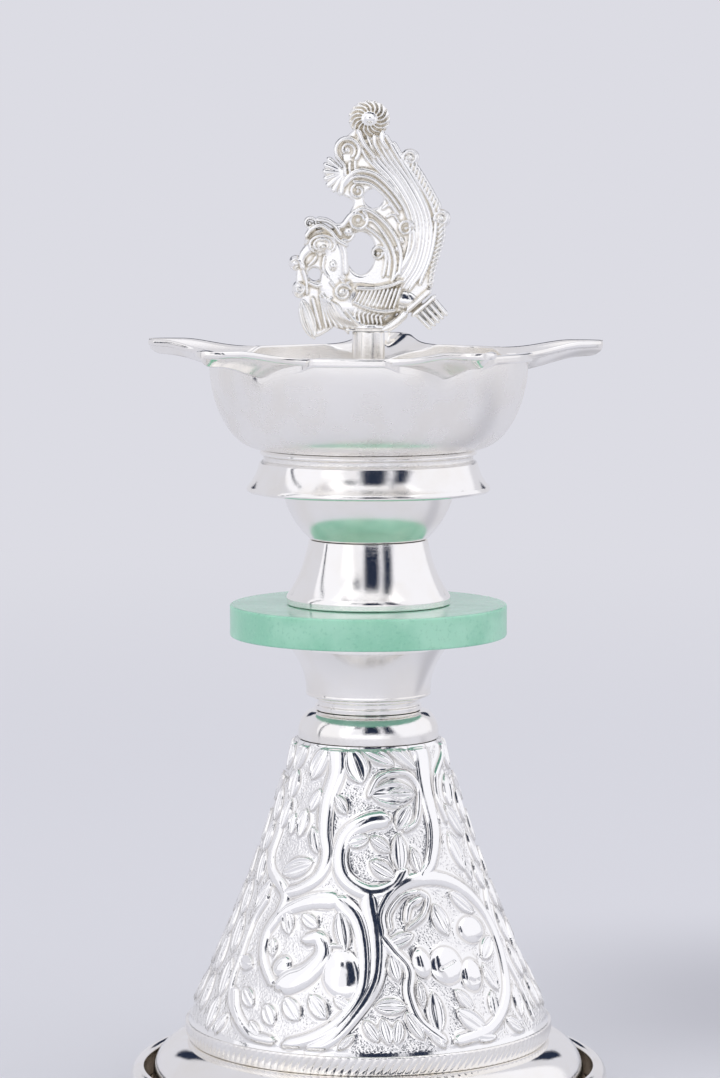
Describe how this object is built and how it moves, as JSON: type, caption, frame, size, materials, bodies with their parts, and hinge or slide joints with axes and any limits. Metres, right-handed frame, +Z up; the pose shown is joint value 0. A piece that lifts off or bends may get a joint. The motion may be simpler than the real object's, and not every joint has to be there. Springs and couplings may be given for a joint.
{
  "type": "standing oil lamp",
  "caption": "Standing oil lamp: embossed cone base, green stone disc, round dish with wick spouts and a peacock finial that unscrews.",
  "frame": {"origin": "on the floor under the lamp's axis", "axes": "+Z up along the lamp's axis; the peacock faces -X; the pictured side is -Y"},
  "size_m": [0.1204, 0.1204, 0.251],
  "materials": {
    "silver_plate": "mirror-polished silver plate",
    "embossed_silver": "embossed, polished silver plate with a stippled ground",
    "cast_silver": "bright cast silver plate, slightly warm in its recesses",
    "green_stone": "polished pale green stone",
    "gasket_rubber": "plain black sheet rubber",
    "bush_nylon": "natural nylon",
    "clamp_steel": "plain zinc-plated steel"
  },
  "bodies": {
    "stand": {"base_rim": "silver_plate", "base_tray": "silver_plate", "base_skirt": "silver_plate", "rope_band": "silver_plate", "cone_shell": "embossed_silver", "collar": "silver_plate", "step_ring": "silver_plate", "neck_cup": "silver_plate", "lower_gasket": "gasket_rubber", "stone_disc": "green_stone", "stone_bush": "bush_nylon", "upper_gasket": "gasket_rubber", "spacer": "silver_plate", "lower_bowl": "silver_plate", "dish_foot": "silver_plate", "oil_dish": "silver_plate", "wick_spout_1": "silver_plate", "wick_spout_2": "silver_plate", "wick_spout_3": "silver_plate", "wick_spout_4": "silver_plate", "wick_spout_5": "silver_plate", "clamp_washer": "clamp_steel", "clamp_nut": "clamp_steel", "tie_rod": "clamp_steel"},
    "post": {"finial_post": "silver_plate"},
    "finial": {"peacock": "cast_silver"}
  },
  "joints": [
    {"name": "finial_rise", "type": "slide", "parent": "stand", "child": "post", "axis": [0, 0, 1], "range_m": [0, 0.01]},
    {"name": "finial_turn", "type": "hinge", "parent": "post", "child": "finial", "pos_m": [0, 0, 0.194], "axis": [0, 0, 1], "range_deg": [0, 5143]}
  ],
  "couplings": [
    {"joint": "finial_turn", "follows": "finial_rise", "rad_per_m": 8976}
  ]
}
